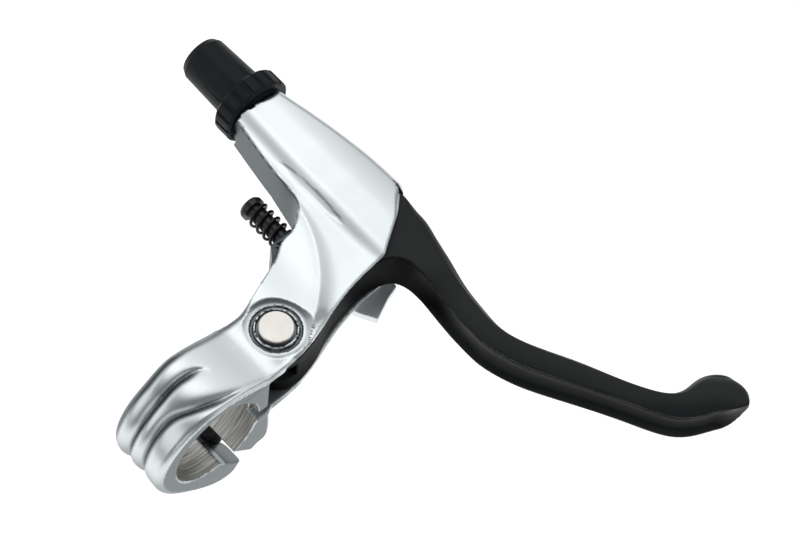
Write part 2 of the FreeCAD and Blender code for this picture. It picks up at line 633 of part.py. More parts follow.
def make_clamp_bolt():
    hex_radius = "bolt_socket / 2 / cos(30)"
    blank = turned("clamp_bolt_blank", [
        ("0", "0"), ("bolt_head_radius - 0.5", "0"), ("bolt_head_radius", "0.5"),
        ("bolt_head_radius", "bolt_head_height"), ("bolt_radius", "bolt_head_height"),
        ("bolt_radius", "bolt_head_height + bolt_length - 0.6"),
        ("bolt_radius - 0.6", "bolt_head_height + bolt_length"), ("0", "bolt_head_height + bolt_length")])
    socket = primitive("Prism", "clamp_bolt_socket", {"Circumradius": hex_radius, "Height": "4"}, z="-1")
    bolt = cut("clamp_bolt", blank, [socket])
    base = {"y": "(bolt_reach - gap_offset) * sqrt(0.5)", "z": "-(bolt_reach + gap_offset) * sqrt(0.5)"}
    place(bolt, turn=ACROSS_GAP, **shifted(base, "-bolt_seat - washer_height - bolt_head_height"))
    washer = turned("clamp_washer", [
        ("bolt_radius + bolt_fit", "0"), ("washer_radius", "0"), ("washer_radius", "washer_height"),
        ("bolt_radius + bolt_fit", "washer_height")])
    place(washer, turn=ACROSS_GAP, **shifted(base, "-bolt_seat - washer_height"))


# Barrel adjuster and lock ring, both built outward from the nose's end


def make_adjuster():
    base = "stud_length + ring_hub_height + ring_height + ring_gap"
    end = "(%s + barrel_length)" % base
    blank = turned("adjuster_blank", [
        ("cable_radius", "0"), ("stud_radius - 0.5", "0"), ("stud_radius", "0.5"), ("stud_radius", base),
        ("barrel_root_radius - 0.5", base), ("barrel_root_radius", base + " + 0.5"),
        ("barrel_tip_radius", end + " - barrel_dome"),
        ("barrel_tip_radius - barrel_dome * 0.35", end + " - barrel_dome * 0.3"),
        ("barrel_tip_radius - barrel_dome", end),
        ("housing_radius + 0.4", end), ("housing_radius", end + " - 0.4"),
        ("housing_radius", end + " - housing_depth"), ("cable_radius", end + " - housing_depth")])
    flutes = []
    count = int(size("barrel_flutes"))
    for index in range(count):
        angle = 2 * math.pi * (index + 0.5) / count
        away = size("barrel_root_radius") + size("flute_radius") - size("flute_depth")
        flute = primitive("Cylinder", "barrel_flute_%d" % index,
                          {"Radius": "flute_radius", "Height": "barrel_length - barrel_dome * 0.4 + 0.5"},
                          z=base + " - 0.5")
        flute.Placement.Base.x = away * math.cos(angle)
        flute.Placement.Base.y = away * math.sin(angle)
        flutes.append(flute)
    slot = primitive("Box", "adjuster_slot", {"Length": "12", "Width": "cable_slot", "Height": "60"},
                     x="cable_slot / 2 * sin(%d)" % SLOT_TURN,
                     y="-cable_slot / 2 * cos(%d)" % SLOT_TURN, z="-1",
                     turn=Rotation(V(0, 0, 1), SLOT_TURN))
    barrel = cut("adjuster_barrel", blank, flutes + [slot])
    at = {"x": "nose_end_x + stud_length", "y": "adjuster_y", "z": "adjuster_z"}
    place(barrel, turn=FACING_OUT, **at)

    hole = "stud_radius + running_fit"
    ring_end = "ring_hub_height + ring_height"
    ring = turned("lock_ring_blank", [
        (hole, "0"), ("ring_hub_radius", "0"), ("ring_hub_radius", "ring_hub_height"),
        ("ring_radius - 0.5", "ring_hub_height"), ("ring_radius", "ring_hub_height + 0.5"),
        ("ring_radius", ring_end + " - 0.5"), ("ring_radius - 0.5", ring_end), (hole, ring_end)])
    tools = []
    lobes = int(size("ring_lobes"))
    for index in range(lobes):
        angle = 2 * math.pi * (index + 0.5) / lobes
        groove = primitive("Cylinder", "ring_groove_%d" % index,
                           {"Radius": "ring_groove", "Height": "ring_height + 2"}, z="ring_hub_height - 1")
        groove.Placement.Base.x = size("ring_radius") * math.cos(angle)
        groove.Placement.Base.y = size("ring_radius") * math.sin(angle)
        tools.append(groove)
    ring_slot = primitive("Box", "lock_ring_slot", {"Length": "12", "Width": "cable_slot", "Height": "20"},
                          x="cable_slot / 2 * sin(%d)" % SLOT_TURN,
                          y="-cable_slot / 2 * cos(%d)" % SLOT_TURN, z="-1",
                          turn=Rotation(V(0, 0, 1), SLOT_TURN))
    nut = cut("lock_ring", ring, tools + [ring_slot])
    place(nut, x="nose_end_x", y="adjuster_y", z="adjuster_z", turn=FACING_OUT)


# Reach screw and its spring, on the side away from the lever's tip


def make_reach_screw():
    screw = turned("reach_screw", [
        ("0", "0"), ("reach_radius - 0.4", "0"), ("reach_radius", "0.4"), ("reach_radius", "reach_length"),
        ("reach_head_radius", "reach_length"),
        ("reach_head_radius", "reach_length + reach_head_height * 0.55"),
        ("reach_head_radius * 0.86", "reach_length + reach_head_height * 0.85"),
        ("reach_head_radius * 0.5", "reach_length + reach_head_height"),
        ("0", "reach_length + reach_head_height")])
    place(screw, x="shin_x - reach_tip_gap", y="reach_y", z="reach_z", turn=FACING_OUT)
    head_x = size("shin_x") - size("reach_tip_gap") - size("reach_length")
    wire = size("reach_wire")
    radius = size("reach_head_radius") - wire / 2 + 0.1
    length = size("reach_wall_x") - head_x - wire - 0.1
    coil = Part.makeHelix(length / size("reach_coils"), length, radius)
    first = coil.Edges[0].valueAt(coil.Edges[0].FirstParameter)
    ring = Part.Wire(Part.makeCircle(wire / 2, first, V(0, 1, 0)))
    spring = feature("reach_spring", Part.Wire(coil.Edges).makePipeShell([ring], True, True))
    spring.Placement = FreeCAD.Placement(
        V(size("reach_wall_x") - wire / 2 - 0.05, size("reach_y"), size("reach_z")), FACING_OUT)


# Cable hook: a turned holder for the nipple, free to swivel in the lever's head


def make_hook():
    blank = primitive("Cylinder", "cable_hook_blank", {"Radius": "hook_radius", "Height": "hook_height"})
    nipple = primitive("Cylinder", "nipple_seat",
                       {"Radius": "nipple_radius", "Height": "nipple_depth + 1"}, z="-1")
    slot = primitive("Box", "hook_slot",
                     {"Length": "10", "Width": "cable_slot", "Height": "nipple_depth + 1"},
                     x="-10", y="-cable_slot / 2", z="-1")
    hook = cut("cable_hook", blank, [nipple, slot])
    place(hook, x="hook_x", y="adjuster_y", z="hook_bottom")


NODES = [
    "bracket", "lever_blade", "pivot_axle", "axle_snap_ring", "upper_bushing", "lower_bushing",
    "upper_thrust_washer", "lower_thrust_washer", "return_spring", "clamp_bolt", "clamp_washer",
    "adjuster_barrel", "lock_ring", "reach_screw", "reach_spring", "cable_hook",
]


def check_and_write():
    doc.recompute()
    for item in doc.Objects:
        if "Invalid" in item.State or "Error" in item.State:
            raise RuntimeError("%s did not build: %s" % (item.Name, item.State))
    os.makedirs("parts", exist_ok=True)
    for name in NODES:
        node = doc.getObject(name)
        node.Label = name
        if node.Shape.isNull() or not node.Shape.isValid():
            raise RuntimeError("%s has no valid shape" % name)
        node.Shape.exportStep("parts/%s.step" % name)
        print("%-22s %2d solid %9.2f mm3" % (name, len(node.Shape.Solids), node.Shape.Volume))


make_bracket()
make_lever()
make_pivot()
make_return_spring()
make_clamp_bolt()
make_adjuster()
make_reach_screw()
make_hook()
check_and_write()
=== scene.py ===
import json
import math

import bpy
import numpy as np
from mathutils import Euler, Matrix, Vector


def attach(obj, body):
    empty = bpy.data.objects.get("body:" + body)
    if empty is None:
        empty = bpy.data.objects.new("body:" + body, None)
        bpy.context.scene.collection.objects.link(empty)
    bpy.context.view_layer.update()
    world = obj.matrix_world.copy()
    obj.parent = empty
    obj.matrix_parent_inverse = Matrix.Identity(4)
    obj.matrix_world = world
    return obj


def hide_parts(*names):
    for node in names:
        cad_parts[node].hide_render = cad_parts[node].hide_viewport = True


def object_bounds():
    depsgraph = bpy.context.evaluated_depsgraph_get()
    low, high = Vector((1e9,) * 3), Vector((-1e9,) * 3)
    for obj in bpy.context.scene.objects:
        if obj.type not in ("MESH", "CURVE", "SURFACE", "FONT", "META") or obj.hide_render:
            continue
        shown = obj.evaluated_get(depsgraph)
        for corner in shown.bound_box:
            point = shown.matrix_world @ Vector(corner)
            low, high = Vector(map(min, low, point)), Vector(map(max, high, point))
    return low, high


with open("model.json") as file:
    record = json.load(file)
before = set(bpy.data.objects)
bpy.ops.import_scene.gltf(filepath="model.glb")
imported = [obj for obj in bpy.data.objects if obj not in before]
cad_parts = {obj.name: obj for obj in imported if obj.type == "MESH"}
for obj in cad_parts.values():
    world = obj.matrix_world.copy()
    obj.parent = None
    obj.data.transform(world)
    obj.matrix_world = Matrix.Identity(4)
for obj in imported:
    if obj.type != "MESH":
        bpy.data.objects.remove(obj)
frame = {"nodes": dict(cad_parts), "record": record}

# A right-hand brake lever for a flat handlebar: satin silver body, black lever blade.
# Lengths in the outlines are in millimetres in the part's own frame, and meshes are in metres.

CAD_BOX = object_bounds()
MM = 0.001

# Driving dimensions of the part, as its solids have them
BAR_RADIUS = 11.1
CLAMP_HALF = 8.6
PIVOT_Y = 22.8
PLATE_TOP = 11.0
SPOT_FACE_Z = 10.38
RING_TOP = 10.85
THINNEST_TOP = 10.0
BAY_TOP = 9.3
BAY_FLOOR = -2.8
FLOOR_UNDER = -5.5
NOSE_UNDER = -2.2
LEVER_MIDDLE = 3.25
NOSE_END = -45.4
ADJUSTER_Y = 57.6
ADJUSTER_Z = 5.0
REACH_Y = 41.2
REACH_Z = 3.4
REACH_WALL_X = -17.7
HOOK_X = -6.6
SHIN_X = -8.1
GAP_OFFSET = 5.5
GAP_WIDTH = 3.2
BOLT_REACH = 14.5
DIAGONAL = math.sqrt(0.5)

# Grid cells of the two modelled shells, and the step of the tables and slopes
BODY_CELL = 0.42
LEVER_CELL = 0.36
TABLE_STEP = 0.1
SMOOTHING_ROUNDS = 3


# Distance fields: negative inside, in millimetres


def round_max(a, b, radius):
    """Where two forms overlap, with the edge between them rounded."""
    outside = np.hypot(np.maximum(a + radius, 0), np.maximum(b + radius, 0))
    return np.minimum(-radius, np.maximum(a, b)) + outside


def round_min(a, b, radius):
    """Two forms joined, with the corner between them filled."""
    return -round_max(-a, -b, radius)


def carve(body, tool, radius=0.35):
    """A form with a tool taken out, and the cut's edge broken."""
    return round_max(body, -tool, radius)


def bevel_max(a, b, width):
    """Where two forms overlap, with a flat bevel on the edge between them."""
    return np.maximum(np.maximum(a, b), (a + b + width) * DIAGONAL)


def step_up(value, low, high):
    """From nothing at low to one at high, without a kink."""
    t = np.clip((value - low) / (high - low), 0, 1)
    return t * t * (3 - 2 * t)


def step_down(value, high, low):
    """From nothing at high to one at low."""
    return step_up(-value, -high, -low)


def bell(distance, width):
    """A round hump, one high."""
    return np.exp(-(distance / width) ** 2)


def cusp(distance, width, tip=0.2):
    """A sharp ridge with hollow flanks, one high."""
    return np.exp((tip - np.sqrt(distance ** 2 + tip ** 2)) / width)


def spline(points, step=0.8):
    """Points along a smooth curve through the given ones (natural cubic, by chord length)."""
    knots = np.array(points, float)
    along = np.concatenate([[0], np.cumsum(np.linalg.norm(np.diff(knots, axis=0), axis=1))])
    count = len(knots)
    gaps = np.diff(along)
    system = np.eye(count)
    target = np.zeros_like(knots)
    for i in range(1, count - 1):
        system[i, i - 1:i + 2] = gaps[i - 1], 2 * (gaps[i - 1] + gaps[i]), gaps[i]
        target[i] = 6 * ((knots[i + 1] - knots[i]) / gaps[i] - (knots[i] - knots[i - 1]) / gaps[i - 1])
    bend = np.linalg.solve(system, target)
    places = np.linspace(0, along[-1], max(2, int(along[-1] / step) + 1))
    span = np.clip(np.searchsorted(along, places, side="right") - 1, 0, count - 2)
    width = gaps[span][:, None]
    a = (along[span + 1] - places)[:, None] / width
    b = 1 - a
    return (a * knots[span] + b * knots[span + 1]
            + ((a ** 3 - a) * bend[span] + (b ** 3 - b) * bend[span + 1]) * width ** 2 / 6)


def chain(*runs):
    """One closed outline from several runs of points."""
    points = np.vstack([np.atleast_2d(np.array(run, float)) for run in runs])
    keep = np.linalg.norm(points - np.roll(points, 1, axis=0), axis=1) > 1e-6
    return points[keep]


def to_path(u, v, path):
    """Distance from points to an open chain, and the signed side: positive on its right."""
    nearest = np.full(np.broadcast(u, v).shape, 1e9)
    side = np.zeros_like(nearest)
    for (ax, ay), (bx, by) in zip(path[:-1], path[1:]):
        dx, dy = bx - ax, by - ay
        run = np.clip(((u - ax) * dx + (v - ay) * dy) / (dx * dx + dy * dy), 0, 1)
        gap = np.hypot(u - ax - run * dx, v - ay - run * dy)
        closer = gap < nearest
        nearest = np.where(closer, gap, nearest)
        side = np.where(closer, (u - ax) * dy - (v - ay) * dx, side)
    return nearest, np.sign(side)


def outline_distance(u, v, corners):
    """Signed distance from points to a closed outline."""
    nearest = np.full(np.broadcast(u, v).shape, 1e9)
    inside = np.zeros(nearest.shape, bool)
    for (ax, ay), (bx, by) in zip(corners, np.roll(corners, -1, axis=0)):
        dx, dy = bx - ax, by - ay
        run = np.clip(((u - ax) * dx + (v - ay) * dy) / (dx * dx + dy * dy), 0, 1)
        nearest = np.minimum(nearest, (u - ax - run * dx) ** 2 + (v - ay - run * dy) ** 2)
        if ay != by:
            inside ^= ((v < ay) != (v < by)) & (u < ax + (v - ay) * dx / dy)
    return np.sqrt(nearest) * np.where(inside, -1, 1)


def sheet(function, low, high):
    """A function of two lengths kept in a fine table, and read back with straight interpolation."""
    counts = [int((high[k] - low[k]) / TABLE_STEP) + 2 for k in range(2)]
    u, v = (low[k] + TABLE_STEP * np.arange(counts[k]) for k in range(2))
    table = function(u[:, None], v[None, :])

    def read(a, b):
        a = np.clip((a - low[0]) / TABLE_STEP, 0, counts[0] - 1.001)
        b = np.clip((b - low[1]) / TABLE_STEP, 0, counts[1] - 1.001)
        i, j = a.astype(int), b.astype(int)
        a, b = a - i, b - j
        return ((table[i, j] * (1 - a) + table[i + 1, j] * a) * (1 - b)
                + (table[i, j + 1] * (1 - a) + table[i + 1, j + 1] * a) * b)
    return read


def cylinder(u, v, along, radius, low, high):
    """A round bar of a given radius, from low to high along its axis."""
    return np.maximum(np.hypot(u, v) - radius, np.maximum(low - along, along - high))


def block(x, y, z, low, high):
    """A box between two corners."""
    gap = np.maximum(low[0] - x, x - high[0])
    gap = np.maximum(gap, np.maximum(low[1] - y, y - high[1]))
    return np.maximum(gap, np.maximum(low[2] - z, z - high[2]))


# From a distance field to a mesh with true normals


def crossed_cells(field):
    """One point in each grid cell that the surface crosses, and the four-sided faces between them."""
    cells = np.array(field.shape) - 1
    total = np.zeros((int(np.prod(cells)), 3))
    hits = np.zeros(int(np.prod(cells)))
    faces = []
    for axis in range(3):
        near = field[tuple(slice(None, -1) if a == axis else slice(None) for a in range(3))]
        far = field[tuple(slice(1, None) if a == axis else slice(None) for a in range(3))]
        edge = np.argwhere((near < 0) != (far < 0))
        first = near[tuple(edge.T)]
        second = far[tuple(edge.T)]
        place = edge.astype(float)
        place[:, axis] += first / (first - second)
        u, v = (axis + 1) % 3, (axis + 2) % 3
        ring = []
        for du, dv in ((0, 0), (-1, 0), (-1, -1), (0, -1)):
            cell = edge.copy()
            cell[:, u] += du
            cell[:, v] += dv
            flat = np.ravel_multi_index(tuple(cell.T), tuple(cells))
            ring.append(flat)
            hits += np.bincount(flat, minlength=len(hits))
            for k in range(3):
                total[:, k] += np.bincount(flat, weights=place[:, k], minlength=len(hits))
        quad = np.stack(ring, axis=1)
        faces.append(np.where((first < 0)[:, None], quad, quad[:, ::-1]))
    used = np.flatnonzero(hits)
    number = np.full(len(hits), -1)
    number[used] = np.arange(len(used))
    return total[used] / hits[used, None], number[np.vstack(faces)]


def slope(distance, points, reach=TABLE_STEP):
    """Gradient of a distance field at points."""
    x, y, z = points.T
    return np.stack([distance(x + reach, y, z) - distance(x - reach, y, z),
                     distance(x, y + reach, z) - distance(x, y - reach, z),
                     distance(x, y, z + reach) - distance(x, y, z - reach)], axis=1) / (2 * reach)


def unit(vectors):
    """The same directions, each one long."""
    return vectors / np.maximum(np.linalg.norm(vectors, axis=1, keepdims=True), 1e-6)


def solid_from(distance, low, high, cell):
    """Points, faces and normals of the surface where a distance field is zero."""
    low = np.array(low, float)
    counts = np.ceil((np.array(high, float) - low) / cell).astype(int) + 1
    x, y, z = (low[k] + cell * np.arange(counts[k]) for k in range(3))
    field = distance(x[:, None, None], y[None, :, None], z[None, None, :])
    places, faces = crossed_cells(field)
    points = low + cell * places
    ends = np.stack([faces, np.roll(faces, -1, axis=1)], axis=2).reshape(-1, 2)
    degree = np.bincount(ends[:, 0], minlength=len(points))[:, None]
    for done in range(SMOOTHING_ROUNDS):
        away = distance(*points.T)[:, None]
        tilt = slope(distance, points)
        size = np.maximum((tilt ** 2).sum(axis=1, keepdims=True), 0.2)
        points = points - np.clip(away / size, -0.5 * cell, 0.5 * cell) * tilt
        if done < SMOOTHING_ROUNDS - 1:
            mean = np.stack([np.bincount(ends[:, 0], weights=points[ends[:, 1], k], minlength=len(points))
                             for k in range(3)], axis=1) / degree
            outward = unit(tilt)
            drift = mean - points
            points = points + 0.6 * (drift - (drift * outward).sum(axis=1, keepdims=True) * outward)
    return points, faces, unit(slope(distance, points))


def mesh_object(name, points, faces, normals, masks):
    """A smooth mesh object in metres, with one number per point for each mask."""
    mesh = bpy.data.meshes.new(name)
    mesh.from_pydata((points * MM).tolist(), [], faces.tolist())
    for title, values in masks.items():
        layer = mesh.attributes.new(title, "FLOAT", "POINT")
        layer.data.foreach_set("value", values.astype(np.float32))
    mesh.polygons.foreach_set("use_smooth", [True] * len(mesh.polygons))
    mesh.normals_split_custom_set_from_vertices(normals.tolist())
    mesh.update()
    piece = bpy.data.objects.new(name, mesh)
    bpy.context.scene.collection.objects.link(piece)
    return piece


# Bracket: outline, sculpted top, clamp with its lobes


NOSE_FRONT = ADJUSTER_Y + 5.4
NOSE_BACK = ADJUSTER_Y - 7.2
HOUSING = chain(
    [(8.4, -6), (8.3, 14.8)],
    spline([(8.3, 14.8), (7.3, 25.2), (3.5, 37), (1.6, 45.5), (0.9, 52.6)]),
    [(-8.4, 66.8), (-10.8, 68.4)],
    spline([(-10.8, 68.4), (-22, 67.6), (-36, 65.2), (NOSE_END, NOSE_FRONT)]),
    spline([(NOSE_END, NOSE_BACK), (-35, 48.7), (-25, 47.5), (-19.9, 46.3), (REACH_WALL_X, 42.4)]),
    spline([(REACH_WALL_X, 36.8), (-13.7, 33.4), (-11.4, 28.8), (-9.1, 23.4), (-8.6, 10)]),
    [(-8.6, -6)])
CLAMP = chain(
    spline([(18.5, 9.8), (15.5, 10.4), (12.8, 11.05), (9.5, 12.1), (0.5, 14.0), (-7.5, 12.5), (-13.3, 7.6),
            (-15.9, 0.6), (-13.9, -7.0), (-8.6, -13.2), (-2.2, -18.2), (2.6, -20.1), (5.4, -19.6),
            (6.8, -17.6)]),
    spline([(11.6, -14.85), (13.4, -14.6), (15.0, -9.0), (14.8, -2.9)]),
    [(14.8, -2.9)])
BAY = np.array([(30, 13.7), (-30, 13.7), (-30, 27.8), (-9.2, 27.8), (-11.9, 33.4), (-15.3, 38), (-15.3, 65.6),
                (-11, 66.8), (30, 66.8)])
WING = np.array([(-4, 56.6), (2.6, 56.0), (3.6, 52.6), (6.0, 47.4), (2.0, 45.0), (-4, 43)])

# Lines seen from above: crest, rear edge of the front panel, plate's edge, flute and clamp grooves
CREST = spline([(-30, 49.0), (-25.7, 48.4), (-21.2, 46.9), (-15.8, 45.2), (-11, 43.2), (-6.7, 40.6),
                (-2.9, 37.6), (0.8, 33.7), (3.4, 30.3)])
PANEL_REAR = spline([(-48, 52.3), (-33.4, 51.6), (-18.1, 51.2), (-3.7, 51.2), (3, 51.2)])
PLATE_EDGE = spline([(-28, 46.4), (-21, 45.9), (-18.2, 44.4), (-16.8, 42.6), (-16.0, 40.6), (-15.5, 38.0),
                     (-13.6, 35.0), (-12.1, 31.9), (-10.2, 26.9), (-8.4, 22.0), (-7.9, 18.4), (-8.2, 10)])
FLUTE = spline([(4.6, 33), (4.4, 29.6), (5.4, 26), (6.6, 22), (7.4, 18.6), (7.9, 15)])
LEFT_GROOVE = spline([(-0.7, 4.8), (-1.7, 3.2), (-2.2, 1.3), (-2.4, -1.2), (-2.3, -4.2), (-2.0, -7),
                      (-1.8, -10), (-1.7, -16), (-2.1, -24), (-2.1, -60)])
RIGHT_GROOVE = spline([(7.8, 15), (7.5, 11.8), (7.0, 7.3), (6.3, 2.8), (5.3, -1), (3.9, -5), (2.5, -8.5),
                       (2.2, -12), (2.3, -20), (2.2, -60)])

# Heights of the sculpted top, and the stretches over which each form comes in
PANEL_DROP = 1.0
PANEL_STEP = (-2.6, 2.6)
STRAP_RISE = 0.4
STRAP_STEP = (1.5, 5)
STRAP_END = (-20, -32)
CREST_HEIGHT = 0.8
CREST_BACK = 3.2
CREST_AHEAD = 30
CREST_TIP = 0.3
CREST_START = (-30, -16)
VALLEY_SLOPE = 0.28
VALLEY_PLACES = (-20, 2)
VALLEY_WIDTHS = (0.6, 3.4)
PIVOT_RISE = 0.95
PIVOT_RISE_RUN = (38, 25)
TOP_ROUNDING = 0.4
ROLL_CURVE = 0.022
ROLL_START = 59
FLUTE_DEPTH = 0.25
FLUTE_WIDTH = 1.5
FLUTE_START = (14, 18)
SADDLE_DROP = 1.2
SADDLE_RUN = (19, 11)
LENS_MIDDLE = (-20.5, 50.6)
LENS_HALF = (9.6, 0.8)
LENS_DEPTH = 0.06

# Clamp grooves: deepest on the back, and wider round it than on top
LEFT_DEPTH = 1.2
LEFT_RUN = (5.4, -0.5)
LEFT_OUTER = 0.85
LEFT_INNER = 0.4
RIGHT_START = 0.25
RIGHT_MORE = 1.0
RIGHT_RUN = (9, -1)
RIGHT_WIDTH = 0.85
BACK_RUN = (-6, -10)
BACK_RADIUS = 14.0
PAST_GROOVES = -60.0


def top_height(x, y):
    """Height of the body's sculpted top: a raised front panel, a crest behind it and a flute."""
    crest, crest_side = to_path(x, y, CREST)
    rear, rear_side = to_path(x, y, PANEL_REAR)
    flute, _ = to_path(x, y, FLUTE)
    behind = rear * rear_side
    ahead = np.where(crest_side < 0, crest, 0)
    flank = np.interp(x, VALLEY_PLACES, VALLEY_WIDTHS) + 0 * y
    fallen = ahead - np.clip(ahead - 0.6 * flank, 0, 0.8 * flank) ** 2 / (1.6 * flank)
    fallen = np.where(ahead > 1.4 * flank, flank, fallen)
    crest_width = np.where(crest_side > 0, CREST_BACK, CREST_AHEAD)
    along_crest = step_up(x, *CREST_START)
    level = PLATE_TOP - 0.1 - PANEL_DROP * step_up(behind, *PANEL_STEP)
    level = level + STRAP_RISE * step_up(behind, *STRAP_STEP) * step_down(x, *STRAP_END)
    level = level + CREST_HEIGHT * cusp(crest, crest_width, CREST_TIP) * along_crest
    level = level - VALLEY_SLOPE * fallen * along_crest
    level = level + PIVOT_RISE * step_down(y, *PIVOT_RISE_RUN)
    level = THINNEST_TOP + round_max(level - THINNEST_TOP, 0 * level, TOP_ROUNDING)
    level = level - ROLL_CURVE * np.maximum(y - ROLL_START, 0) ** 2
    level = level - FLUTE_DEPTH * bell(flute, FLUTE_WIDTH) * step_up(y, *FLUTE_START)
    level = level - SADDLE_DROP * step_down(y, *SADDLE_RUN)
    lens = ((x - LENS_MIDDLE[0]) / LENS_HALF[0]) ** 2 + ((y - LENS_MIDDLE[1]) / LENS_HALF[1]) ** 2
    return level - LENS_DEPTH * step_down(lens, 1.25, 0.75)


def grooves(x, travel):
    """Depth taken off the clamp: two grooves that run over it and round its back."""
    left, left_side = to_path(x, travel, LEFT_GROOVE)
    right, _ = to_path(x, travel, RIGHT_GROOVE)
    inner = LEFT_INNER * (1 + step_down(travel, *BACK_RUN))
    left_width = np.where(left_side < 0, LEFT_OUTER, inner)
    left_depth = LEFT_DEPTH * step_down(travel, *LEFT_RUN)
    right_depth = RIGHT_START + RIGHT_MORE * step_down(travel, *RIGHT_RUN)
    return left_depth * cusp(left, left_width, 0.15) + right_depth * cusp(right, RIGHT_WIDTH, 0.25)


def travel_round(y, z):
    """Way round the clamp from over the bar, negative towards the rear and below."""
    behind = BACK_RADIUS * np.arctan2(y, z)
    return np.where(y < 0, behind, np.where(z > 6, y, PAST_GROOVES))


PLAN_LOW = (-50, -20)
PLAN_HIGH = (14, 74)
HOUSING_PLAN = sheet(lambda u, v: outline_distance(u, v, HOUSING), PLAN_LOW, PLAN_HIGH)
BAY_PLAN = sheet(lambda u, v: outline_distance(u, v, BAY), PLAN_LOW, PLAN_HIGH)
EDGE_PLAN = sheet(lambda u, v: np.prod(to_path(u, v, PLATE_EDGE), axis=0), PLAN_LOW, PLAN_HIGH)
TOP = sheet(top_height, PLAN_LOW, PLAN_HIGH)
CLAMP_SECTION = sheet(lambda u, v: outline_distance(u, v, CLAMP), (-22, -24), (20, 18))
GROOVES = sheet(grooves, (-12, -62), (12, 26))

# Edges of the clamp
CLAMP_EDGE = 1.2
CLAMP_LEFT_SOFTER = 2.1
CLAMP_BACK_SOFTER = 0.5
CLAMP_BACK_NARROWER = 0.9

# Round the pivot axle
SPOT_RADIUS = 6.2
SPOT_FLARE = 2.2
SPOT_SCALE = 0.42
AXLE_BORE = 3.02
RECESS_RADIUS = 4.4
RECESS_DEPTH = 0.95
BOSS_RING = 4.9
RING_GROOVE = 5.25
RING_GROOVE_HALF = 0.36
RING_GROOVE_DEPTH = 0.45

# Bores, slots and teeth
STUD_BORE = 4.05
STUD_ROOM = 4.6
STUD_ROOM_RUN = (NOSE_END + 13, NOSE_END + 32)
CABLE_SLOT_HALF = 1
REACH_BORE = 2.0
HOOK_WINDOW = 5.5
BOLT_BORE = 3.0
BOLT_HEAD_ROOM = 5.5
BOLT_FAR_END = 9.6
BOLT_HEAD_SEAT = -4.4
TOOTH_COUNT = 12
TOOTH_DEPTH = 0.6
TOOTH_TURN = 0.9

# Plate, keel and wing
TOP_EDGE = 0.45
FRONT_SOFTER = 1.7
FRONT_RUN = (60, 66)
CHEEK_SHARPER = 0.15
CHEEK_RUN = (-3, -7)
FLANK_SOFTER = 2.2
FLANK_RUN = (-2, -6)
PLATE_SIDE_RUN = (7.2, 6.9)
KEEL_PLACES = (-30, -20.5)
KEEL_BEVEL = 1.8
WING_MIDDLE = -5.8
WING_HALF = 1.2


def housing_form(x, y, z):
    """Plates, bay walls and nose in one, under the sculpted top."""
    front = step_up(y - 0.12 * x, *FRONT_RUN)
    cheek = step_down(x + 0.35 * (y - 20), *CHEEK_RUN) * step_down(y, 44, 38)
    flank = step_down(x, *FLANK_RUN) * step_down(y, 24, 19)
    soft = TOP_EDGE + FRONT_SOFTER * front - CHEEK_SHARPER * cheek + FLANK_SOFTER * flank
    past_plate = np.where((y > 14) & (y < 48), EDGE_PLAN(x, y), -9.0)
    plan = np.maximum(HOUSING_PLAN(x, y), past_plate - 9 * step_down(z, *PLATE_SIDE_RUN))
    housing = round_max(plan, (z - TOP(x, y)) * 0.97, soft)
    keel = np.interp(x, KEEL_PLACES, (NOSE_UNDER, FLOOR_UNDER))
    return bevel_max(housing, keel - z, KEEL_BEVEL)


def clamp_form(x, y, z):
    """The bar clamp with its grooves, rounder on the left than on the end face."""
    section = CLAMP_SECTION(y, z) + GROOVES(x, travel_round(y, z)) * step_down(y, 16, 14)
    edge = CLAMP_EDGE + CLAMP_LEFT_SOFTER * step_down(x, 2, -2) + CLAMP_BACK_SOFTER * step_down(y, 0, -10)
    left_side = -x - CLAMP_HALF + CLAMP_BACK_NARROWER * step_down(y, 2, -8)
    return round_max(section, np.maximum(left_side, x - CLAMP_HALF), edge)


def seat_pivot(body, from_pivot, z):
    """A groove and a raised ring in the spot face round the axle."""
    groove = np.abs(from_pivot - RING_GROOVE) - RING_GROOVE_HALF
    body = carve(body, np.maximum(groove, SPOT_FACE_Z - RING_GROOVE_DEPTH - z), 0.12)
    ring = round_max(from_pivot - BOSS_RING, z - RING_TOP, 0.2)
    return round_min(body, np.maximum(ring, 8 - z), 0.1)


def bore_clamp(body, x, y, z):
    """The bar's bore, the slanted gap, and the clamp bolt's bore with its head's seat."""
    body = carve(body, np.hypot(y, z) - BAR_RADIUS, 0.3)
    across = (y + z) * DIAGONAL + GAP_OFFSET
    ahead = (y - z) * DIAGONAL
    body = carve(body, np.maximum(np.abs(across) - GAP_WIDTH / 2, -ahead), 0.3)
    from_bolt = np.hypot(x, ahead - BOLT_REACH)
    body = carve(body, np.maximum(from_bolt - BOLT_BORE, across - BOLT_FAR_END), 0.2)
    return carve(body, np.maximum(from_bolt - BOLT_HEAD_ROOM, across - BOLT_HEAD_SEAT), 0.3)


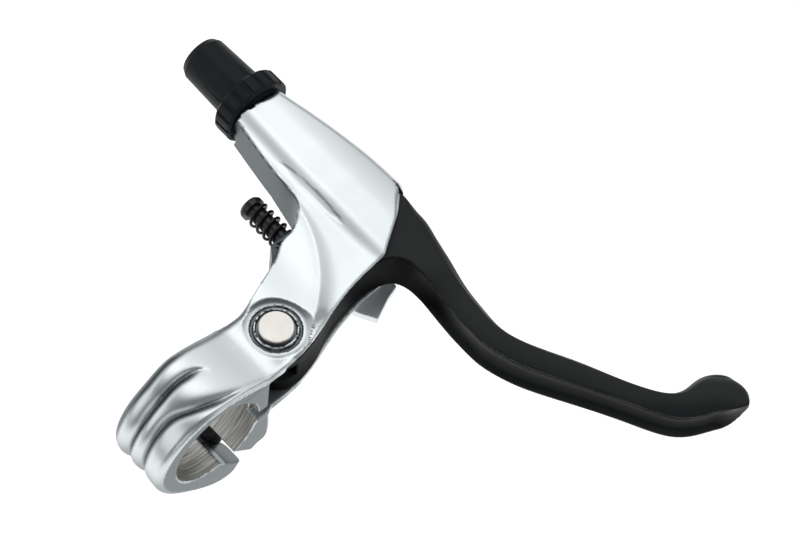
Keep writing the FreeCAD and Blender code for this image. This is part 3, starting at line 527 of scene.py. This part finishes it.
def open_nose(body, x, y, z):
    """The adjuster's bore with the cable's slot, the reach screw's bore and the hook's window."""
    up = z - ADJUSTER_Z
    ahead = y - ADJUSTER_Y
    from_stud = np.hypot(ahead, up)
    body = carve(body, np.maximum(from_stud - STUD_BORE, x + 30), 0.3)
    body = carve(body, cylinder(ahead, up, x, STUD_ROOM, *STUD_ROOM_RUN), 0.3)
    slot_low = (-60, ADJUSTER_Y, ADJUSTER_Z - CABLE_SLOT_HALF)
    slot_high = (-15.6, 90, ADJUSTER_Z + CABLE_SLOT_HALF)
    body = carve(body, block(x, y, z, slot_low, slot_high), 0.2)
    body = carve(body, cylinder(y - REACH_Y, z - REACH_Z, x, REACH_BORE, -24, -13), 0.15)
    body = carve(body, cylinder(x - HOOK_X, ahead, z, HOOK_WINDOW, -14, 0), 0.3)
    notch_low = (CLAMP_HALF - 3, BAR_RADIUS - 2.5, BAY_FLOOR)
    notch_high = (CLAMP_HALF + 1, BAR_RADIUS + 3.5, 0)
    body = carve(body, block(x, y, z, notch_low, notch_high), 0.2)
    wave = step_up(np.cos(np.arctan2(up, ahead) * TOOTH_COUNT + TOOTH_TURN), -0.3, 0.7)
    end = NOSE_END + TOOTH_DEPTH * wave * step_up(from_stud, 4.6, 5.6)
    return round_max(body, end - x, 0.25)


def bracket_distance(x, y, z):
    from_pivot = np.hypot(x, y - PIVOT_Y)
    cone = (from_pivot - SPOT_RADIUS - SPOT_FLARE * (z - SPOT_FACE_Z)) * SPOT_SCALE
    spot_face = round_max(cone, SPOT_FACE_Z - z, 0.25)
    body = carve(housing_form(x, y, z), spot_face, 0.1)
    body = round_min(body, clamp_form(x, y, z), 0.8)
    body = seat_pivot(body, from_pivot, z)
    wing = round_max(outline_distance(x, y, WING), np.abs(z - WING_MIDDLE) - WING_HALF, 0.3)
    body = round_min(body, wing, 0.4)
    body = bore_clamp(body, x, y, z)
    bay = np.maximum(BAY_PLAN(x, y), np.maximum(BAY_FLOOR - z, z - BAY_TOP))
    body = carve(body, bay, 0.3)
    body = carve(body, from_pivot - AXLE_BORE, 0.1)
    body = carve(body, np.maximum(from_pivot - RECESS_RADIUS, RING_TOP - RECESS_DEPTH - z), 0.15)
    return open_nose(body, x, y, z)


def painted_shade_mask(points, normals):
    """Painted shade: one where the body's colour is darkened to stand for shade on walls, undersides,
    grooves, and rings round the axle.
    """
    x, y, z = points.T
    right, ahead, up = normals.T
    across = np.abs((y + z) * DIAGONAL + GAP_OFFSET)
    from_pivot = np.hypot(x, y - PIVOT_Y)
    near_top = z > 9.5
    over_reach_screw = (x < -12) * (y > 26) * (y < 46) * (z < 8.8)
    end_faces = 0.85 * step_up(np.abs(right), 0.93, 0.99) * (y < 24)
    nose_rear = step_down(ahead, -0.45, -0.65) * (x < REACH_WALL_X)
    left_flank = 0.75 * step_down(right, -0.25, -0.65) * step_down(y, 24, 20)
    clamp_left = 0.9 * step_down(right, -0.15, -0.5) * step_down(y, 6, 0)
    clamp_underside = 0.8 * step_down(up, 0.35, -0.35) * (y < 10)
    clamp_grooves = 0.7 * step_up(GROOVES(x, travel_round(y, z)), 0.7, 1.2) * (y < 8)
    gap_faces = 0.85 * (np.abs(across - GAP_WIDTH / 2) < 0.1) * (y - z > 15)
    rear_slopes = 0.4 * step_down(ahead, -0.12, -0.4) * (y > 19.5) * (up > 0.6)
    far_from_light = step_up(0.64 * right - 0.77 * ahead, 0.1, 0.25)
    spot_cone = 0.65 * far_from_light * (np.abs(from_pivot - 6.8) < 1.1) * near_top
    ring_groove = 0.9 * (np.abs(from_pivot - RING_GROOVE) < 0.45) * (z < SPOT_FACE_Z - 0.12) * near_top
    axle_recess = 0.9 * (from_pivot < RECESS_RADIUS + 0.1) * (z < RING_TOP - 0.15) * near_top
    return np.max([
        over_reach_screw, end_faces, nose_rear, left_flank, clamp_left, clamp_underside, clamp_grooves,
        gap_faces, rear_slopes, spot_cone, ring_groove, axle_recess], axis=0)


def make_bracket():
    low = (-48, -18, -21.5)
    high = (10.5, 70, 15.5)
    points, faces, normals = solid_from(bracket_distance, low, high, BODY_CELL)
    x, y, z = points.T
    off_bore = np.abs(np.hypot(y, z) - BAR_RADIUS)
    bore = step_down(off_bore, 0.35, 0.15) * (np.abs(x) < CLAMP_HALF - 0.2)
    wing_top = step_down(z, -4.2, -4.5) * step_up(x, -3, -1) * (y > 42) * (normals[:, 2] > 0.5)
    # The painted shade mask darkens walls, undersides, grooves and the rings round the axle in colour,
    # standing for shade.
    masks = {"machined": bore, "painted_shade": painted_shade_mask(points, normals) * (1 - bore), "cast": wing_top}
    return mesh_object("body_shell", points, faces, normals, masks)


# Lever: plan outline, crowned top, round front and a long channel along the rear face


TIP_CORNER = (75.6, 88.3)
BLADE_FRONT = [
    (-8, 66.3), (-1, 66.6), (4, 65.4), (9.5, 64.2), (15.3, 62.9), (20.1, 62.2), (24.9, 61.7), (27.8, 61.6),
    (30, 61.9), (33.6, 63.1), (43.6, 68.3), (55.0, 73.7), (58.7, 75.6), (60.8, 76.9), (62.4, 78.6),
    (63.3, 80.8), (63.3, 83.2), (63.1, 85.6), (63.7, 88.0), (65.0, 89.9), (66.8, 91.1), (69.1, 91.6),
    (71.5, 91.4), (73.9, 90.3), TIP_CORNER]
BLADE_REAR = [
    TIP_CORNER, (74.6, 86.2), (73.0, 83.2), (71.8, 80.4), (70.2, 77.2), (68, 74.6), (65, 72.5), (60, 69.9),
    (51, 65.1), (44, 61.1), (38, 58.0), (33, 56.2), (29, 55.3), (25, 55.1), (20, 55.3), (15, 55.7),
    (10.5, 56.2), (7, 56.3), (4.2, 55.7), (2.4, 54.5), (1.4, 52.7), (0.6, 48), (1.4, 42), (3.4, 35),
    (6.0, 29.6), (7.4, 24.6)]
BOSS_RADIUS = 7.6
BOSS_TURN = np.radians(np.arange(14, -195, -8))
BOSS = np.stack([BOSS_RADIUS * np.cos(BOSS_TURN), PIVOT_Y + BOSS_RADIUS * np.sin(BOSS_TURN)], axis=1)
LEVER = chain(
    spline(BLADE_FRONT), spline(BLADE_REAR)[1:], BOSS,
    spline([(-7.4, 24.6), (SHIN_X, 36), (SHIN_X, 46)]),
    spline([(SHIN_X, 46), (-9.8, 50.5), (-13.0, 55), (-13.3, 60.5), (-11.6, 64.6), (-8, 66.3)]))
SPINE = spline([(4, 60.8), (14, 59.5), (24, 58.5), (30, 58.9), (36, 60.8), (46, 65.9), (56, 71.0), (62, 74.8),
                (66, 78.6), (68.6, 82.4), (71.4, 85.8), (74.2, 87.6), TIP_CORNER])


def spine_side(x, y):
    """Distance from the middle of the blade: positive towards the front."""
    gap, side = to_path(x, y, SPINE)
    return -side * gap


LEVER_LOW = (-18, 12)
LEVER_HIGH = (80, 95)
LEVER_PLAN = sheet(lambda u, v: outline_distance(u, v, LEVER), LEVER_LOW, LEVER_HIGH)
SIDE = sheet(spine_side, LEVER_LOW, LEVER_HIGH)

# Heights of the lever over and under its middle, its channel and its rooms
HEAD_HALF = 5.7
NECK_LESS = 0.95
BLADE_LESS = 0.55
BLADE_DEEPER = 0.9
TIP_LIFT = 7.6
TIP_LIFT_RUN = 6
CHANNEL_START = 0.25
CHANNEL_MORE = 1.5
CHANNEL_LIP = 0.7
SHARP_EDGE = 0.35
BORE_ROOM = 4.06
WASHER_ROOM = 5.9
WASHER_LEVEL = 5.0
SPRING_ROOM = 5.6
SPRING_HALF = 2.1
HOOK_BORE = 4.95


def blade_form(x, y, rise):
    """The lever with its crowned top, round front, channel along the rear and lifted tip."""
    plan = LEVER_PLAN(x, y)
    side = SIDE(x, y)
    from_corner = np.hypot(x - TIP_CORNER[0], y - TIP_CORNER[1])
    lift = TIP_LIFT * np.clip(1 - from_corner / TIP_LIFT_RUN, 0, 1) ** 2.4
    above = HEAD_HALF - NECK_LESS * step_up(x, 8, 19) - BLADE_LESS * step_up(x, 30, 66)
    below = above + BLADE_DEEPER * step_up(x, 10, 20) - lift
    crown = (0.04 * step_up(x, 4, 14) + 0.03 * step_up(x, 60, 66)) * (np.clip(side, -4, 6) - 0.5) ** 2
    depth = (CHANNEL_START + CHANNEL_MORE * step_up(x, 5, 14)) * step_down(side, 0.5, -1.0)
    depth = depth * step_up(x, 1.5, 6) * step_up(from_corner, 1, 7)
    off_middle = rise + (below - above) / 2
    half_open = np.maximum((above + below) / 2 - CHANNEL_LIP, 0.4)
    channel = depth * np.maximum(0, 1 - (off_middle / half_open) ** 2)
    plan = plan + channel * (plan > -4.5)
    round_front = 2.9 * step_up(x, -9, -3) - 1.9 * step_up(x, 62, 68)
    edge = SHARP_EDGE + round_front * step_up(side, 0.3, 2.4)
    return round_max(plan, np.maximum(rise - above + crown, -rise - below), edge)


def lever_distance(x, y, z):
    rise = z - LEVER_MIDDLE
    from_pivot = np.hypot(x, y - PIVOT_Y)
    lever = blade_form(x, y, rise)
    lever = carve(lever, np.maximum(from_pivot - WASHER_ROOM, WASHER_LEVEL - np.abs(rise)), 0.15)
    lever = carve(lever, from_pivot - BORE_ROOM, 0.2)
    lever = carve(lever, np.maximum(from_pivot - SPRING_ROOM, np.abs(rise) - SPRING_HALF), 0.2)
    rooms = (
        ((-15, PIVOT_Y - 20, -SPRING_HALF), (15, PIVOT_Y, SPRING_HALF)),
        ((-5.6, PIVOT_Y, -SPRING_HALF), (-3.8, PIVOT_Y + 9, SPRING_HALF)))
    for low, high in rooms:
        lever = carve(lever, block(x, y, rise, low, high), 0.2)
    lever = carve(lever, cylinder(x - HOOK_X, y - ADJUSTER_Y, rise, HOOK_BORE, -20, 4.2), 0.2)
    cable_low = (HOOK_X - 20, ADJUSTER_Y - 5.5, ADJUSTER_Z - 18)
    cable_high = (HOOK_X, ADJUSTER_Y + 3.5, 7.0)
    return carve(lever, block(x, y, z, cable_low, cable_high), 0.2)


def make_lever():
    low = (-15, 14, -4)
    high = (77, 92.5, 10.5)
    points, faces, normals = solid_from(lever_distance, low, high, LEVER_CELL)
    x, y, z = points.T
    upright = step_down(np.abs(normals[:, 2]), 0.75, 0.45)
    rear = upright * step_down(SIDE(x, y), 0.5, -0.5)
    # The flat mask marks the head's rear faces, where the material paints shade with a near-black colour and
    # almost no specular.
    masks = {"gloss": rear * step_up(x, 14, 26), "flat": rear * step_down(x, 26, 14)}
    return mesh_object("lever_shell", points, faces, normals, masks)


# Materials


def material(name):
    """A new material with its nodes, its links and its shader."""
    made = bpy.data.materials.new(name)
    made.use_nodes = True
    return made, made.node_tree.nodes, made.node_tree.links, made.node_tree.nodes["Principled BSDF"]


def grain(nodes, links, size_mm, detail=3.0, stretch=(1, 1, 1)):
    """Noise in the part's own frame, with features of about the given size."""
    place = nodes.new("ShaderNodeTexCoord")
    scale = nodes.new("ShaderNodeMapping")
    scale.inputs["Scale"].default_value = stretch
    noise = nodes.new("ShaderNodeTexNoise")
    noise.inputs["Scale"].default_value = 1 / (size_mm * MM)
    noise.inputs["Detail"].default_value = detail
    links.new(place.outputs["Object"], scale.inputs["Vector"])
    links.new(scale.outputs["Vector"], noise.inputs["Vector"])
    return noise.outputs["Fac"]


def spread(nodes, links, source, low, high):
    """A noise turned into numbers from low to high."""
    ranged = nodes.new("ShaderNodeMapRange")
    ranged.inputs["From Min"].default_value = 0.3
    ranged.inputs["From Max"].default_value = 0.7
    ranged.inputs["To Min"].default_value = low
    ranged.inputs["To Max"].default_value = high
    links.new(source, ranged.inputs["Value"])
    return ranged.outputs["Result"]


def mixed(nodes, links, share, first, second):
    """Colour between two, each a colour or an output."""
    mix = nodes.new("ShaderNodeMix")
    mix.data_type = "RGBA"
    if isinstance(share, (int, float)):
        mix.inputs["Factor"].default_value = share
    else:
        links.new(share, mix.inputs["Factor"])
    for socket, value in ((mix.inputs[6], first), (mix.inputs[7], second)):
        if isinstance(value, tuple):
            socket.default_value = value + (1.0,)
        else:
            links.new(value, socket)
    return mix.outputs[2]


def blended(nodes, links, share, first, second):
    """Number between two, each a number or an output."""
    mix = nodes.new("ShaderNodeMix")
    mix.data_type = "FLOAT"
    links.new(share, mix.inputs["Factor"])
    for socket, value in ((mix.inputs[2], first), (mix.inputs[3], second)):
        if isinstance(value, (int, float)):
            socket.default_value = value
        else:
            links.new(value, socket)
    return mix.outputs[0]


def mask(nodes, name):
    """One of the numbers that the shell's points carry."""
    layer = nodes.new("ShaderNodeAttribute")
    layer.attribute_name = name
    return layer.outputs["Fac"]


def bump(nodes, links, shader, height, strength, depth_mm):
    """A fine relief on the surface."""
    relief = nodes.new("ShaderNodeBump")
    relief.inputs["Strength"].default_value = strength
    relief.inputs["Distance"].default_value = depth_mm * MM
    links.new(height, relief.inputs["Height"])
    links.new(relief.outputs["Normal"], shader.inputs["Normal"])


LACQUER = ((0.72, 0.765, 0.775), (0.77, 0.81, 0.82))
# Painted shade: the dark colour laid on walls, undersides, grooves and the rings round the axle.
PAINTED_WALL_SHADE = (0.063, 0.079, 0.085)
TURNED_MARKS = ((0.25, 0.25, 0.245), (0.95, 0.94, 0.91))
BLADE_TOP = ((0.012, 0.0145, 0.015), (0.016, 0.019, 0.020))
BLADE_CHANNEL = (0.004, 0.005, 0.0055)
# Painted shade: the near-black colour of the head's rear faces.
HEAD_REAR_PAINTED_SHADE = (0.001, 0.0012, 0.0014)


def satin_silver():
    """Blasted and lacquered aluminium, with turned marks in the bore, and painted shade darkening walls,
    undersides and grooves.
    """
    made, nodes, links, shader = material("satin_silver")
    machined = mask(nodes, "machined")
    cloud = grain(nodes, links, 7.0)
    speck = grain(nodes, links, 0.22)
    marks = grain(nodes, links, 1.0, 4.0, (3.2, 0.12, 0.12))
    lacquer = mixed(nodes, links, cloud, *LACQUER)
    # Painted shade: the lacquer is darkened towards the wall colour where the mask says shade falls.
    walls = mixed(nodes, links, mask(nodes, "painted_shade"), lacquer, PAINTED_WALL_SHADE)
    turned = mixed(nodes, links, spread(nodes, links, marks, 0, 1), *TURNED_MARKS)
    links.new(mixed(nodes, links, machined, walls, turned), shader.inputs["Base Color"])
    lacquer_rough = spread(nodes, links, speck, 0.30, 0.38)
    turned_rough = spread(nodes, links, marks, 0.30, 0.55)
    links.new(blended(nodes, links, machined, lacquer_rough, turned_rough), shader.inputs["Roughness"])
    links.new(blended(nodes, links, mask(nodes, "cast"), 1.0, 0.15), shader.inputs["Metallic"])
    height = blended(nodes, links, machined, spread(nodes, links, speck, 0.0, 0.25), marks)
    bump(nodes, links, shader, height, 0.35, 0.05)
    return made


def black_paint():
    """Matte black lacquer on top of the blade, glossier in the channel, and painted shade behind the head:
    near-black with almost no specular.
    """
    made, nodes, links, shader = material("black_anodised")
    gloss = mask(nodes, "gloss")
    flat = mask(nodes, "flat")
    speck = grain(nodes, links, 0.25)
    cloud = grain(nodes, links, 6.0)
    top = mixed(nodes, links, cloud, *BLADE_TOP)
    rear = mixed(nodes, links, gloss, top, BLADE_CHANNEL)
    # Behind the head the flat mask paints shade: a near-black colour and almost no specular.
    links.new(mixed(nodes, links, flat, rear, HEAD_REAR_PAINTED_SHADE), shader.inputs["Base Color"])
    shine = blended(nodes, links, gloss, 0.24, 0.14)
    links.new(blended(nodes, links, flat, shine, 0.03), shader.inputs["Specular IOR Level"])
    rough = blended(nodes, links, gloss, spread(nodes, links, speck, 0.42, 0.56), 0.25)
    links.new(rough, shader.inputs["Roughness"])
    bump(nodes, links, shader, speck, 0.2, 0.03)
    return made


def plain_metal(name, dark, light, rough, size_mm, depth_mm, metallic=1.0, specular=0.5):
    """Metal with a mottled colour, a varied sheen and a fine relief."""
    made, nodes, links, shader = material(name)
    shader.inputs["Metallic"].default_value = metallic
    shader.inputs["Specular IOR Level"].default_value = specular
    speck = grain(nodes, links, size_mm, 4.0)
    cloud = grain(nodes, links, size_mm * 9)
    both = blended(nodes, links, cloud, speck, cloud)
    links.new(mixed(nodes, links, spread(nodes, links, both, 0, 1), dark, light), shader.inputs["Base Color"])
    links.new(spread(nodes, links, speck, rough * 0.8, rough * 1.25), shader.inputs["Roughness"])
    bump(nodes, links, shader, speck, 0.3, depth_mm)
    return made


# Plainer finishes: dark and light colour, roughness, grain size and relief depth in millimetres,
# and, where the piece isn't bare metal, its metallic share and its specular level
PLAIN = {
    "raw_steel": ((0.62, 0.60, 0.56), (0.80, 0.78, 0.74), 0.36, 0.35, 0.03),
    "spring_steel": ((0.20, 0.20, 0.20), (0.36, 0.36, 0.36), 0.16, 0.3, 0.02),
    "bushing_polymer": ((0.42, 0.40, 0.35), (0.50, 0.47, 0.42), 0.5, 0.4, 0.02, 0.0),
    "black_steel": ((0.018, 0.018, 0.019), (0.035, 0.035, 0.036), 0.28, 0.3, 0.02, 0.5),
    "black_polymer": ((0.011, 0.014, 0.0155), (0.017, 0.021, 0.023), 0.42, 0.25, 0.03, 0.0, 0.12),
    "cast_steel": ((0.30, 0.30, 0.29), (0.42, 0.42, 0.40), 0.42, 0.5, 0.05),
}
MATERIALS = {"satin_silver": satin_silver(), "black_anodised": black_paint()}
MATERIALS.update({name: plain_metal(name, *values) for name, values in PLAIN.items()})


def dress_nodes():
    """Every solid that still shows takes the procedural finish of its own slot."""
    slots = {part["node"]: part["material_slot"] for part in frame["record"]["subparts"]}
    for name, node in frame["nodes"].items():
        made = MATERIALS[slots[name]]
        node.data.materials.clear()
        node.data.materials.append(made)


def dress(piece, node, body, slot):
    """A modelled shell rides on a body in place of one solid, with that solid's slot."""
    piece.data.materials.append(MATERIALS[slot])
    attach(piece, body)
    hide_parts(node)


# Floor, light and camera


CAMERA_PLACE = (0.22648, -0.20594, 0.57575)
CAMERA_ANGLES = (30.570, -4.397, 47.857)
CAMERA_LENS = 140.64
FLOOR_DROP = 0.06
FLOOR_HALF = 0.7
FLOOR_GLOW = 0.60
FLOOR_TINTS = ((0.90, 0.90, 0.90), (0.915, 0.915, 0.915))
WORLD_TINT = (0.94, 0.97, 1.0, 1)
WORLD_GLOW = 0.17

# Each lamp's name, place, width, height and brightness, in metres
LAMPS = (
    ("overhead", (-0.40, 0.60, 0.96), 1.15, 1.4, 0.8),
    ("key", (-0.45, 0.32, 0.98), 0.5, 0.4, 0.8),
    ("front", (-0.35, 1.0, 0.14), 1.0, 0.25, 0.35),
    ("side", (0.85, 0.75, 0.50), 1.1, 0.8, 0.8),
    ("rear", (-0.50, -0.74, 0.52), 1.2, 0.8, 0.85),
    ("fill", (0.85, -0.70, 0.45), 0.8, 0.6, 0.6),
    ("left", (-0.95, 0.0, 0.72), 0.7, 0.8, 0.7),
)


def make_camera():
    data = bpy.data.cameras.new("camera")
    data.lens = CAMERA_LENS
    data.clip_start = 0.05
    camera = bpy.data.objects.new("camera", data)
    camera.location = CAMERA_PLACE
    camera.rotation_euler = Euler([math.radians(angle) for angle in CAMERA_ANGLES])
    bpy.context.scene.collection.objects.link(camera)
    bpy.context.scene.camera = camera


def make_floor():
    mesh = bpy.data.meshes.new("floor")
    level = CAD_BOX[0][2] - FLOOR_DROP
    corners = [(FLOOR_HALF * u, FLOOR_HALF * v, level) for u, v in ((-1, -1), (1, -1), (1, 1), (-1, 1))]
    mesh.from_pydata(corners, [], [(0, 1, 2, 3)])
    made, nodes, links, shader = material("floor_paper")
    shader.inputs["Roughness"].default_value = 0.9
    shader.inputs["Specular IOR Level"].default_value = 0.1
    links.new(mixed(nodes, links, grain(nodes, links, 40.0), *FLOOR_TINTS), shader.inputs["Base Color"])
    shader.inputs["Emission Color"].default_value = (1, 1, 1, 1)
    shader.inputs["Emission Strength"].default_value = FLOOR_GLOW
    mesh.materials.append(made)
    floor = bpy.data.objects.new("floor", mesh)
    bpy.context.scene.collection.objects.link(floor)


def soft_lamp(name, place, width, height, brightness):
    """A panel that faces the part, as bright to look at as the number says."""
    data = bpy.data.lights.new(name, "AREA")
    data.shape = "RECTANGLE"
    data.size = width
    data.size_y = height
    data.energy = brightness * math.pi * width * height
    lamp = bpy.data.objects.new(name, data)
    lamp.location = place
    lamp.rotation_euler = (-Vector(place)).to_track_quat("-Z", "Y").to_euler()
    bpy.context.scene.collection.objects.link(lamp)


def make_light():
    world = bpy.data.worlds.new("studio")
    world.use_nodes = True
    sky = world.node_tree.nodes["Background"]
    sky.inputs["Color"].default_value = WORLD_TINT
    sky.inputs["Strength"].default_value = WORLD_GLOW
    bpy.context.scene.world = world
    for lamp in LAMPS:
        soft_lamp(*lamp)


bpy.context.scene.view_settings.view_transform = "Standard"
make_camera()
make_floor()
make_light()
dress_nodes()
dress(make_bracket(), "bracket", "bracket", "satin_silver")
dress(make_lever(), "lever_blade", "lever", "black_anodised")
